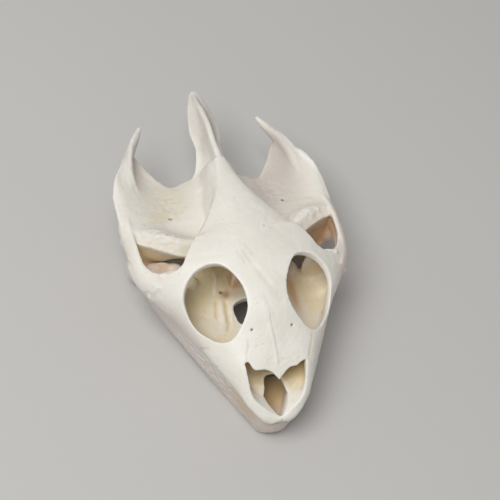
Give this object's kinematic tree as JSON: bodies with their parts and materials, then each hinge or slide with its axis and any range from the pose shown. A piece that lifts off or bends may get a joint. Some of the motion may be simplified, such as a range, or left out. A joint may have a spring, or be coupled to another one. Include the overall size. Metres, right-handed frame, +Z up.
{
  "type": "softshell turtle skull",
  "caption": "Bleached skull of a softshell turtle, life size, with its lower jaw closed, lying as it would rest on a table.",
  "frame": {"origin": "centre of the skull's box, at the level of the surface that the lower jaw rests on", "axes": "+X to the skull's left, +Y from the snout back to the crest tip, +Z up"},
  "size_m": [0.0447, 0.0746, 0.0238],
  "materials": {
    "cranium_bone": "bleached bone, matt with a faint waxy sheen, cream white, tan inside the openings",
    "jaw_bone": "bleached bone, matt, slightly pinker and greyer than the cranium, with fine grooves"
  },
  "bodies": {
    "root": {"cranium": "cranium_bone", "lower_jaw": "jaw_bone"}
  },
  "joints": []
}
